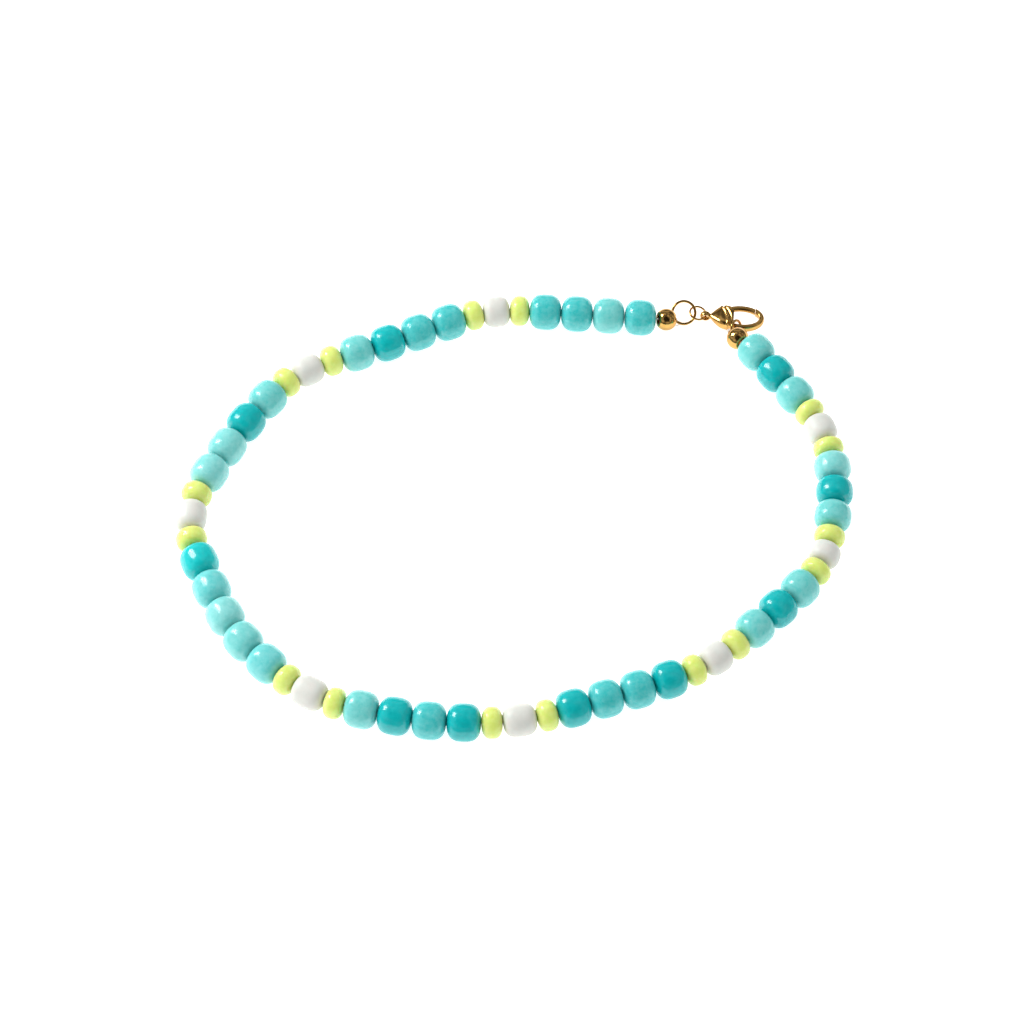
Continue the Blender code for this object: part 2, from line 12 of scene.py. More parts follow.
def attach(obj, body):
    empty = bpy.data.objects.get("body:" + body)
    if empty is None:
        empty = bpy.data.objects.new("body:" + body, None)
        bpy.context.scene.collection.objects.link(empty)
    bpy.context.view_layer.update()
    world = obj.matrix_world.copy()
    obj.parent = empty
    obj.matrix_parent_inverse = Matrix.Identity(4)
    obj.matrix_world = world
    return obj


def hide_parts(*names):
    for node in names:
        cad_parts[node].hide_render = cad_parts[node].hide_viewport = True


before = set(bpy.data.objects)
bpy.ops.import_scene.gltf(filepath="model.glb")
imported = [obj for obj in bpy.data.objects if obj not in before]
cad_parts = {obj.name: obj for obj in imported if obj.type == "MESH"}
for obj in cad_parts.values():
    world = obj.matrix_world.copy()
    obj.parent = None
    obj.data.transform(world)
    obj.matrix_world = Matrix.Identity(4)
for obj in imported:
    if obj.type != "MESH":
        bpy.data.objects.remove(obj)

logging.basicConfig(level=logging.INFO, format="%(message)s")
report = logging.getLogger("necklace")

MM = 0.001
TURQUOISE_RUNS = ("mlmm", "mmdl", "ldll", "dmllm", "ldmd", "dmmd", "ldl", "ldl", "ldl")
MELT = "melt"
MAIN_BODY = "necklace"
LEVER_BODY = "lever"
# Corner points that agree to this many decimals of a metre are one point.
SAME_POINT_DIGITS = 7
# An axis with more than this share of upright needs another direction to measure its turn from.
NEARLY_UPRIGHT = 0.9
# The share of a radius that is left at a pole, where a fan of triangles closes the form.
POLE = 0.02


class Shade(Enum):
    """The three depths of colour that the turquoise beads come in."""

    LIGHT = "l"
    MIDDLE = "m"
    DARK = "d"


# Colour and shader helpers


def linear(code: str) -> tuple[float, float, float, float]:
    """An sRGB hex colour as linear red, green, blue and alpha.

    Args:
        code: Six hex digits, such as "A1B2C3".

    Returns:
        Linear red, green and blue, and an alpha of 1.
    """
    parts = [int(code[i : i + 2], 16) / 255 for i in (0, 2, 4)]
    red, green, blue = [p / 12.92 if p <= 0.04045 else ((p + 0.055) / 1.055) ** 2.4 for p in parts]
    return red, green, blue, 1.0


def add_node(
    tree: bpy.types.NodeTree, kind: str, links: dict | None = None, **settings: object
) -> bpy.types.Node:
    """Add a shader node, set its values and link its inputs.

    Args:
        tree: The node tree that gets it.
        kind: Blender's name for the kind of node.
        links: Input names or numbers, each with the output socket that feeds it.
        settings: Properties of the node, and values of its inputs under their names in lower case.

    Returns:
        The new node.
    """
    node = tree.nodes.new(kind)
    inputs = {socket.name.lower().replace(" ", "_"): socket for socket in node.inputs if socket.enabled}
    for name, value in settings.items():
        if name in node.bl_rna.properties:
            setattr(node, name, value)
            inputs = {s.name.lower().replace(" ", "_"): s for s in node.inputs if s.enabled}
        else:
            inputs[name].default_value = value
    for name, source in (links or {}).items():
        tree.links.new(source, node.inputs[name])
    return node


def new_material(name: str) -> tuple[bpy.types.Material, bpy.types.NodeTree, bpy.types.Node]:
    """Make a material with an empty tree but for its shader and output.

    Args:
        name: What the material is called.

    Returns:
        The material, its node tree and its Principled shader.
    """
    material = bpy.data.materials.new(name)
    material.use_nodes = True
    return material, material.node_tree, material.node_tree.nodes["Principled BSDF"]


def set_shader(shader: bpy.types.Node, **values: float | tuple) -> None:
    """Set constant values on a shader's own sockets.

    Args:
        shader: The Principled node.
        values: Values under the sockets' names in lower case, with underscores for spaces.
    """
    sockets = {socket.name.lower().replace(" ", "_"): socket for socket in shader.inputs}
    for name, value in values.items():
        sockets[name].default_value = value


# Finishes


@dataclass(frozen=True)
class MilkyGlass:
    """Pressed soda-lime glass, clouded in the melt and fire polished.

    Light sinks in and comes back out near by, so the bead looks lit from inside and its shading is soft.
    Paler veils drift through the melt, and a faint ripple of the skin breaks the highlight's edge.
    """

    name: str
    colour: str
    # The veils give each bead its own cloudy patches, paler than the glass between them.
    veil: str
    veil_mm: float = 1.1
    veil_detail: float = 6.0
    veil_fineness: float = 0.66
    veil_starts: float = 0.36
    veil_full: float = 0.70
    veil_amount: float = 0.42
    # The skin's real ripple is finer than a pixel of the picture, so it is drawn this coarse to show.
    ripple_mm: float = 0.40
    ripple_detail: float = 2.0
    ripple_fineness: float = 0.6
    ripple_height_mm: float = 0.022
    # How far light goes in the glass, and the share of that for red, green and blue: red is soaked up first.
    depth_mm: float = 3.2
    depth_shares: tuple = (0.6, 1.0, 1.0)
    scatter: float = 1.0
    # Fire polish gives one clear, soft-edged highlight, and a little clearness lets the rim glow.
    roughness: float = 0.17
    gloss: float = 0.5
    ior: float = 1.5
    clearness: float = 0.08

    def build(self) -> bpy.types.Material:
        """Make the material.

        Returns:
            The finished material.
        """
        material, tree, shader = new_material(self.name)
        place = add_node(tree, "ShaderNodeTexCoord").outputs["Object"]
        melt = add_node(tree, "ShaderNodeAttribute", attribute_name=MELT)
        cloud = add_node(
            tree, "ShaderNodeTexNoise", {"Vector": place}, scale=1 / (self.veil_mm * MM),
            detail=self.veil_detail, roughness=self.veil_fineness,
        )
        veil = add_node(
            tree, "ShaderNodeMapRange", {"Value": cloud.outputs["Fac"]}, from_min=self.veil_starts,
            from_max=self.veil_full, to_min=0.0, to_max=self.veil_amount,
        )
        amount = add_node(
            tree, "ShaderNodeMath", {0: veil.outputs["Result"], 1: melt.outputs["Fac"]},
            operation="ADD", use_clamp=True,
        )
        mix = add_node(tree, "ShaderNodeMix", {"Factor": amount.outputs[0]}, data_type="RGBA")
        colours = [socket for socket in mix.inputs if socket.type == "RGBA"]
        colours[0].default_value = linear(self.colour)
        colours[1].default_value = linear(self.veil)
        mixed = [socket for socket in mix.outputs if socket.type == "RGBA"][0]
        tree.links.new(mixed, shader.inputs["Base Color"])
        ripple = add_node(
            tree, "ShaderNodeTexNoise", {"Vector": place}, scale=1 / (self.ripple_mm * MM),
            detail=self.ripple_detail, roughness=self.ripple_fineness,
        )
        bump = add_node(
            tree, "ShaderNodeBump", {"Height": ripple.outputs["Fac"]}, strength=1.0,
            distance=self.ripple_height_mm * MM,
        )
        tree.links.new(bump.outputs["Normal"], shader.inputs["Normal"])
        set_shader(
            shader, roughness=self.roughness, ior=self.ior, subsurface_weight=self.scatter,
            subsurface_radius=self.depth_shares, subsurface_scale=self.depth_mm * MM,
            specular_ior_level=self.gloss, transmission_weight=self.clearness,
        )
        return material


@dataclass(frozen=True)
class PlatedGold:
    """Brass, tumbled and gold plated: a warm mirror, a little soft from tumbling."""

    name: str = "plated_gold_tumbled"
    colour: str = "D2AC68"
    # Thinner plating looks redder in patches, and tumbling leaves shallow dents, so no reflection is perfect.
    warm: str = "B6843F"
    patch_mm: float = 1.5
    patch_detail: float = 3.0
    dent_depth_mm: float = 0.02
    dent_strength: float = 0.12
    roughness: float = 0.11

    def build(self) -> bpy.types.Material:
        """Make the material.

        Returns:
            The finished material.
        """
        material, tree, shader = new_material(self.name)
        place = add_node(tree, "ShaderNodeTexCoord").outputs["Object"]
        patch = add_node(
            tree, "ShaderNodeTexNoise", {"Vector": place}, scale=1 / (self.patch_mm * MM),
            detail=self.patch_detail,
        )
        mix = add_node(tree, "ShaderNodeMix", {"Factor": patch.outputs["Fac"]}, data_type="RGBA")
        colours = [socket for socket in mix.inputs if socket.type == "RGBA"]
        colours[0].default_value = linear(self.colour)
        colours[1].default_value = linear(self.warm)
        mixed = [socket for socket in mix.outputs if socket.type == "RGBA"][0]
        tree.links.new(mixed, shader.inputs["Base Color"])
        bump = add_node(
            tree, "ShaderNodeBump", {"Height": patch.outputs["Fac"]}, strength=self.dent_strength,
            distance=self.dent_depth_mm * MM,
        )
        tree.links.new(bump.outputs["Normal"], shader.inputs["Normal"])
        set_shader(shader, metallic=1.0, roughness=self.roughness)
        return material


@dataclass(frozen=True)
class NylonLine:
    """Drawn clear nylon: a bright thin line that takes the colour of what is behind it."""

    name: str = "nylon_drawn_clear"
    colour: str = "F4F4F0"
    # Drawing leaves a fine unevenness, which keeps the line's highlight from being a hard stripe.
    draw_mm: float = 0.4
    draw_detail: float = 2.0
    draw_depth_mm: float = 0.01
    draw_strength: float = 0.05
    roughness: float = 0.12
    ior: float = 1.53
    clearness: float = 0.9

    def build(self) -> bpy.types.Material:
        """Make the material.

        Returns:
            The finished material.
        """
        material, tree, shader = new_material(self.name)
        place = add_node(tree, "ShaderNodeTexCoord").outputs["Object"]
        draw = add_node(
            tree, "ShaderNodeTexNoise", {"Vector": place}, scale=1 / (self.draw_mm * MM),
            detail=self.draw_detail,
        )
        bump = add_node(
            tree, "ShaderNodeBump", {"Height": draw.outputs["Fac"]}, strength=self.draw_strength,
            distance=self.draw_depth_mm * MM,
        )
        tree.links.new(bump.outputs["Normal"], shader.inputs["Normal"])
        set_shader(
            shader, base_color=linear(self.colour), roughness=self.roughness, ior=self.ior,
            transmission_weight=self.clearness,
        )
        return material


# Surfaces


def grid_mesh(
    name: str, grid: np.ndarray, finish: bpy.types.Material, row_loop: bool = True
) -> bpy.types.Object:
    """Put a grid of points that closes round its columns into an object.

    Args:
        name: The object's name.
        grid: Points as an array of rows, columns and three coordinates, in metres.
        finish: The material.
        row_loop: Whether the last row joins the first. Otherwise each end is closed by a fan of triangles.

    Returns:
        The new object, at the origin.
    """
    rows, columns, _ = grid.shape
    points = grid.reshape(-1, 3)
    row = np.arange(rows if row_loop else rows - 1)[:, None]
    column = np.arange(columns)[None, :]
    after = (row + 1) % rows
    beside = (column + 1) % columns
    corners = np.stack(np.broadcast_arrays(
        row * columns + column, row * columns + beside, after * columns + beside, after * columns + column
    ), axis=-1).reshape(-1, 4)
    faces = corners.tolist()
    if not row_loop:
        points = np.vstack([points, grid[0].mean(axis=0), grid[-1].mean(axis=0)])
        first, last = rows * columns, rows * columns + 1
        start = np.arange(columns)
        step = (start + 1) % columns
        faces += np.stack([np.full(columns, first), step, start], axis=-1).tolist()
        base = (rows - 1) * columns
        faces += np.stack([np.full(columns, last), base + start, base + step], axis=-1).tolist()
    mesh = bpy.data.meshes.new(name)
    mesh.from_pydata(points.tolist(), [], faces)
    mesh.shade_smooth()
    mesh.materials.append(finish)
    made = bpy.data.objects.new(name, mesh)
    bpy.context.scene.collection.objects.link(made)
    return made


def lathe(profile: np.ndarray, centre: np.ndarray, axis: np.ndarray, sides: int) -> np.ndarray:
    """Turn a profile round an axis.

    A point of the grid is the centre, plus the profile's first number along the axis, plus its second number
    outwards, where outwards goes once round the axis.

    Args:
        profile: Rows of distance along the axis and distance out from it.
        centre: The middle of the turned form.
        axis: The direction that it is turned round.
        sides: How many points go round.

    Returns:
        A grid of points.
    """
    axis = axis / np.linalg.norm(axis)
    helper = np.array([0.0, 0.0, 1.0]) if abs(axis[2]) < NEARLY_UPRIGHT else np.array([1.0, 0.0, 0.0])
    across = np.cross(helper, axis)
    across /= np.linalg.norm(across)
    upward = np.cross(axis, across)
    turn = np.linspace(0.0, 2 * math.pi, sides, endpoint=False)
    outward = np.cos(turn)[:, None] * across + np.sin(turn)[:, None] * upward
    return centre + profile[:, None, :1] * axis + profile[:, None, 1:] * outward[None, :, :]


def smooth_values(at: np.ndarray, knots: np.ndarray, values: np.ndarray) -> np.ndarray:
    """Follow a smooth curve through values: a cubic between neighbours, with slopes taken from both sides.

    Args:
        at: Where to read the curve.
        knots: Where the values stand, in rising order.
        values: The values.

    Returns:
        The curve's value at each place.
    """
    slopes = np.gradient(values, knots)
    i = np.clip(np.searchsorted(knots, at) - 1, 0, len(knots) - 2)
    width = knots[i + 1] - knots[i]
    s = (at - knots[i]) / width
    return (
        (2 * s**3 - 3 * s**2 + 1) * values[i] + (s**3 - 2 * s**2 + s) * width * slopes[i]
        + (3 * s**2 - 2 * s**3) * values[i + 1] + (s**3 - s**2) * width * slopes[i + 1]
    )


def rounded(turn: np.ndarray, squareness: float | np.ndarray) -> tuple[np.ndarray, np.ndarray]:
    """A rounded square's outline.

    Its coordinates are the cosine and the sine, each to the power two over the squareness, with their signs.

    Args:
        turn: The way round, in radians.
        squareness: 2 for a circle, more for squarer.

    Returns:
        The two coordinates, from -1 to 1.
    """
    power = 2 / squareness
    first = np.sign(np.cos(turn)) * np.abs(np.cos(turn)) ** power
    second = np.sign(np.sin(turn)) * np.abs(np.sin(turn)) ** power
    return first, second


def shaped(piece: bpy.types.Object, changes: list[tuple[str, dict]]) -> bpy.types.Object:
    """Apply modifiers to an object's mesh, and remove the objects that they used.

    Args:
        piece: The object.
        changes: Each modifier's kind and its settings, in order.

    Returns:
        The same object, with the result as its mesh.
    """
    helpers = []
    for kind, settings in changes:
        modifier = piece.modifiers.new(kind.lower(), kind)
        for name, value in settings.items():
            setattr(modifier, name, value)
            if isinstance(value, bpy.types.Object):
                helpers.append(value)
    finish = piece.data.materials[0]
    shown = piece.evaluated_get(bpy.context.evaluated_depsgraph_get())
    mesh = bpy.data.meshes.new_from_object(shown)
    piece.modifiers.clear()
    piece.data = mesh
    mesh.materials.clear()
    mesh.materials.append(finish)
    mesh.polygons.foreach_set("material_index", np.zeros(len(mesh.polygons), dtype=np.int32))
    mesh.shade_smooth()
    for helper in helpers:
        bpy.data.objects.remove(helper)
    return piece


def join(name: str, pieces: list[bpy.types.Object]) -> bpy.types.Object:
    """Put several objects' meshes into one object, which keeps all their materials.

    Args:
        name: The new object's name.
        pieces: The objects, which are used up.

    Returns:
        The joined object.
    """
    points, corners, starts, slots, finishes = [], [], [], [], []
    point_count, corner_count = 0, 0
    for piece in pieces:
        mesh = piece.data
        if mesh.materials[0] not in finishes:
            finishes.append(mesh.materials[0])
        points.append(np.zeros(len(mesh.vertices) * 3, dtype=np.float32))
        corners.append(np.zeros(len(mesh.loops), dtype=np.int32))
        starts.append(np.zeros(len(mesh.polygons), dtype=np.int32))
        mesh.vertices.foreach_get("co", points[-1])
        mesh.loops.foreach_get("vertex_index", corners[-1])
        mesh.polygons.foreach_get("loop_start", starts[-1])
        corners[-1] += point_count
        starts[-1] += corner_count
        slots.append(np.full(len(mesh.polygons), finishes.index(mesh.materials[0]), dtype=np.int32))
        point_count += len(mesh.vertices)
        corner_count += len(mesh.loops)
        bpy.data.objects.remove(piece)
    mesh = bpy.data.meshes.new(name)
    mesh.vertices.add(point_count)
    mesh.vertices.foreach_set("co", np.concatenate(points))
    mesh.loops.add(corner_count)
    mesh.loops.foreach_set("vertex_index", np.concatenate(corners))
    mesh.polygons.add(sum(len(part) for part in starts))
    mesh.polygons.foreach_set("loop_start", np.concatenate(starts))
    for finish in finishes:
        mesh.materials.append(finish)
    mesh.polygons.foreach_set("material_index", np.concatenate(slots))
    mesh.update(calc_edges=True)
    mesh.shade_smooth()
    made = bpy.data.objects.new(name, mesh)
    bpy.context.scene.collection.objects.link(made)
    return made


def node_points(name: str) -> np.ndarray:
    """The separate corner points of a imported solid.

    Args:
        name: The solid's name.

    Returns:
        Points in metres.
    """
    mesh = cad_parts[name].data
    flat = np.zeros(len(mesh.vertices) * 3)
    mesh.vertices.foreach_get("co", flat)
    return np.unique(np.round(flat.reshape(-1, 3), SAME_POINT_DIGITS), axis=0)


def node_axes(points: np.ndarray) -> tuple[np.ndarray, np.ndarray, np.ndarray]:
    """The middle of some points and the directions in which they spread.

    Args:
        points: Points in metres.

    Returns:
        Their mean, their spreads from least to most, and the direction of each spread as a row.
    """
    centre = points.mean(axis=0)
    spread, directions = np.linalg.eigh(np.cov((points - centre).T))
    return centre, spread, directions.T


def finished(piece: bpy.types.Object, body: str, slot: str, *nodes: str) -> bpy.types.Object:
    """Attach a piece to its body and say what it stands for.

    Args:
        piece: The finished piece.
        body: The body that it rides on.
        slot: The record's material slot, which is not used.
        nodes: The solids that it replaces.

    Returns:
        The same piece.
    """
    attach(piece, body)
    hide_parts(*nodes)
    report.info("%s stands for %s, %d faces", piece.name, ", ".join(nodes), len(piece.data.polygons))
    return piece


# Glass beads


@dataclass(frozen=True)
class BeadForm:
    """The outline of one kind of pressed bead, drilled along its axis."""

    diameter: float
    squareness: float
    bore: float = 1.2 * MM
    lip: float = 0.25 * MM
    lip_rows: int = 5
    sides: int = 48
    rows: int = 34

    def profile(self, length: float) -> np.ndarray:
        """The bead's closed outline: a superellipse over it, a rounded lip at each hole, and the hole's wall.

        The distance along is half the length times cosine to the power two over the squareness, and the
        distance out is the radius times sine to the same power.

        Args:
            length: The bead's length.

        Returns:
            Rows of distance along the axis and distance out from it.
        """
        radius = self.diameter / 2
        power = 2 / self.squareness
        mouth = self.bore / 2 + self.lip
        first = math.asin((mouth / radius) ** (1 / power))
        turn = np.linspace(math.pi - first, first, self.rows)
        along = length / 2 * np.sign(np.cos(turn)) * np.abs(np.cos(turn)) ** power
        out = radius * np.sin(turn) ** power
        edge = along[-1]
        bend = np.linspace(0.0, math.pi / 2, self.lip_rows)[1:]
        lip_along = edge - self.lip * (1 - np.cos(bend))
        lip_out = mouth - self.lip * np.sin(bend)
        far = np.stack([lip_along, lip_out], axis=-1)
        near = far[::-1] * np.array([-1.0, 1.0])
        return np.vstack([near, np.stack([along, out], axis=-1), far])


@dataclass
class BeadPlace:
    """Where one bead lies: its two ends, on the thread's line."""

    start: np.ndarray
    end: np.ndarray

    @property
    def centre(self) -> np.ndarray:
        """The bead's middle."""
        return (self.start + self.end) / 2

    @property
    def run(self) -> np.ndarray:
        """The way from its start to its end."""
        return self.end - self.start


@dataclass
class GlassString:
    """The string of glass beads: runs of turquoise ones with a lime, white and lime group between."""

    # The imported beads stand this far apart, and the dressed ones all but touch, as the real ones do.
    joint: float = 0.3 * MM
    hairline: float = 0.01 * MM
    # In millimetres, from the first group to the last: pressed beads differ in length.
    white_lengths: tuple = (5.95, 6.67, 6.83, 7.16, 6.99, 6.25, 5.05, 6.40)
    # Some turquoise beads took less colour in the melt: each one's number, and how much more veil it has.
    paler: dict = field(default_factory=lambda: {
        7: 0.15, 11: 0.25, 12: 0.3, 13: 0.6, 14: 0.4, 15: 0.3, 16: 0.1, 17: 0.45, 31: 0.3
    })
    turquoise: BeadForm = BeadForm(diameter=8.0 * MM, squareness=2.85)
    white: BeadForm = BeadForm(diameter=6.85 * MM, squareness=3.0)
    lime: BeadForm = BeadForm(diameter=6.7 * MM, squareness=2.66, rows=28)
    # The same clouded glass in three depths of colour, so the string looks mixed by hand.
    shades: dict = field(default_factory=lambda: {
        Shade.LIGHT: MilkyGlass("glass_pressed_turquoise_light", "68C3C0", "A4DAD8"),
        Shade.MIDDLE: MilkyGlass("glass_pressed_turquoise_middle", "3CB8B8", "8AD2D1"),
        Shade.DARK: MilkyGlass("glass_pressed_turquoise_dark", "00A8AA", "1CC2C2"),
    })
    # Lime glass is as cloudy and a little less shiny, and glows where it is thin.
    lime_finish: MilkyGlass = MilkyGlass("glass_pressed_lime", "D0DA72", "E2EAA0", gloss=0.4)
    # Opal white lets little light in and is left matt, so it looks like chalk beside the others.
    white_finish: MilkyGlass = MilkyGlass(
        "glass_pressed_opal_white", "CFCFC9", "DADAD4", depth_mm=0.8, scatter=0.6, roughness=0.4, gloss=0.3,
        clearness=0.03, ripple_height_mm=0.004,
    )

    def build(self) -> None:
        """Build and dress every glass bead."""
        glass = {shade: finish.build() for shade, finish in self.shades.items()}
        lime = self.lime_finish.build()
        white = self.white_finish.build()
        places = self.turquoise_places()
        number = 0
        for group, run in enumerate(TURQUOISE_RUNS):
            for letter in run:
                name = f"turquoise_{number + 1:02d}"
                shade = Shade(letter)
                bead = self.bead(f"bead_{name}", places[number], self.turquoise, glass[shade])
                bead.data.attributes.new(MELT, "FLOAT", "POINT")
                pale = np.full(len(bead.data.vertices), self.paler.get(number + 1, 0.0))
                bead.data.attributes[MELT].data.foreach_set("value", pale)
                finished(bead, MAIN_BODY, f"turquoise_{shade.name.lower()}", name)
                number += 1
            if group + 1 < len(TURQUOISE_RUNS):
                white_length = self.white_lengths[group] * MM
                parts = self.spacer_places(places[number - 1], places[number], white_length)
                forms = (self.lime, self.white, self.lime)
                beads = [
                    self.bead(f"spacer_{i}", place, form, white if form is self.white else lime)
                    for i, (place, form) in enumerate(zip(parts, forms))
                ]
                name = f"spacers_{group + 1:02d}"
                finished(join(f"beads_{name}", beads), MAIN_BODY, "spacer_glass", name)

    def turquoise_places(self) -> list[BeadPlace]:
        """Find each turquoise bead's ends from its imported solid, in order along the string.

        Returns:
            One place for each bead.
        """
        count = sum(len(run) for run in TURQUOISE_RUNS)
        clouds = [node_points(f"turquoise_{i + 1:02d}") for i in range(count)]
        centres = np.array([cloud.mean(axis=0) for cloud in clouds])
        ahead = np.gradient(centres, axis=0)
        places = []
        for cloud, centre, forward in zip(clouds, centres, ahead):
            along = node_axes(cloud)[2][2]
            along = np.array([along[0], along[1], 0.0])
            along *= np.sign(along @ forward) / np.linalg.norm(along)
            half = (np.ptp(cloud @ along) + self.joint) / 2
            places.append(BeadPlace(centre - along * half, centre + along * half))
        return places

    def spacer_places(self, before: BeadPlace, after: BeadPlace, white_length: float) -> list[BeadPlace]:
        """Place a lime, a white and a lime bead on the curve between two turquoise beads.

        The curve is the cubic that leaves one end and meets the other in the beads' own directions.

        Args:
            before: The turquoise bead before the group.
            after: The one after it.
            white_length: The white bead's length.

        Returns:
            The three places.
        """
        start, end = before.end, after.start
        span = np.linalg.norm(end - start)
        leave = before.run / np.linalg.norm(before.run) * span
        arrive = after.run / np.linalg.norm(after.run) * span
        white = white_length / span
        share = np.array([0.0, (1 - white) / 2, (1 + white) / 2, 1.0])[:, None]
        points = (
            (2 * share**3 - 3 * share**2 + 1) * start + (share**3 - 2 * share**2 + share) * leave
            + (3 * share**2 - 2 * share**3) * end + (share**3 - share**2) * arrive
        )
        return [BeadPlace(points[i], points[i + 1]) for i in range(3)]

    def bead(
        self, name: str, place: BeadPlace, form: BeadForm, finish: bpy.types.Material
    ) -> bpy.types.Object:
        """Build one bead.

        Args:
            name: The object's name.
            place: Where it lies.
            form: Its outline.
            finish: Its material.

        Returns:
            The bead.
        """
        length = float(np.linalg.norm(place.run)) - self.hairline
        return grid_mesh(name, lathe(form.profile(length), place.centre, place.run, form.sides), finish)


# Metal


@dataclass
class GoldBeads:
    """The two round gold end beads, with flat ends and wide holes."""

    diameter: float = 5.0 * MM
    length: float = 3.8 * MM
    bore: float = 2.2 * MM
    lip: float = 0.18 * MM
    lip_rows: int = 6
    arc_rows: int = 28
    sides: int = 64

    def build(self, gold: bpy.types.Material) -> None:
        """Build both beads.

        Args:
            gold: Their finish.
        """
        for name in ("gold_bead_01", "gold_bead_02"):
            centre, spread, directions = node_axes(node_points(name))
            odd = 0 if spread[1] - spread[0] > spread[2] - spread[1] else 2
            grid = lathe(self.profile(), centre, directions[odd], self.sides)
            finished(grid_mesh(f"ball_{name}", grid, gold), MAIN_BODY, "gold", name)

    def profile(self) -> np.ndarray:
        """A circle's arc between the flat ends, each with a rounded step down to the hole.

        Returns:
            Rows of distance along the axis and distance out from it.
        """
        radius = self.diameter / 2
        reach = math.acos(self.length / 2 / radius)
        turn = np.linspace(math.pi - reach, reach, self.arc_rows)
        arc = np.stack([radius * np.cos(turn), radius * np.sin(turn)], axis=-1)
        bend = np.linspace(0.0, math.pi / 2, self.lip_rows)
        mouth = self.bore / 2 + self.lip
        lip = np.stack([
            self.length / 2 - self.lip * (1 - np.cos(bend)), mouth - self.lip * np.sin(bend)
        ], axis=-1)
        return np.vstack([lip[::-1] * np.array([-1.0, 1.0]), arc, lip])


@dataclass
class WireRings:
    """The jump ring, the small ring beside it and the ring that the hook holds."""

    wires: dict = field(default_factory=lambda: {
        "jump_ring": 0.66 * MM, "small_ring": 0.48 * MM, "end_ring": 0.6 * MM
    })
    segments: int = 96
    sides: int = 20

    def build(self, gold: bpy.types.Material) -> None:
        """Build the three rings.

        Args:
            gold: Their finish.
        """
        for name, wire in self.wires.items():
            points = node_points(name)
            centre, _, directions = node_axes(points)
            normal = directions[0]
            flat = points - centre
            out = np.linalg.norm(flat - np.outer(flat @ normal, normal), axis=1)
            middle = (out.max() + out.min()) / 2
            turn = np.linspace(0.0, 2 * math.pi, self.sides, endpoint=False)
            profile = np.stack([wire / 2 * np.sin(turn), middle + wire / 2 * np.cos(turn)], axis=-1)
            grid = lathe(profile, centre, normal, self.segments)
            finished(grid_mesh(f"wire_{name}", grid, gold), MAIN_BODY, "gold", name)


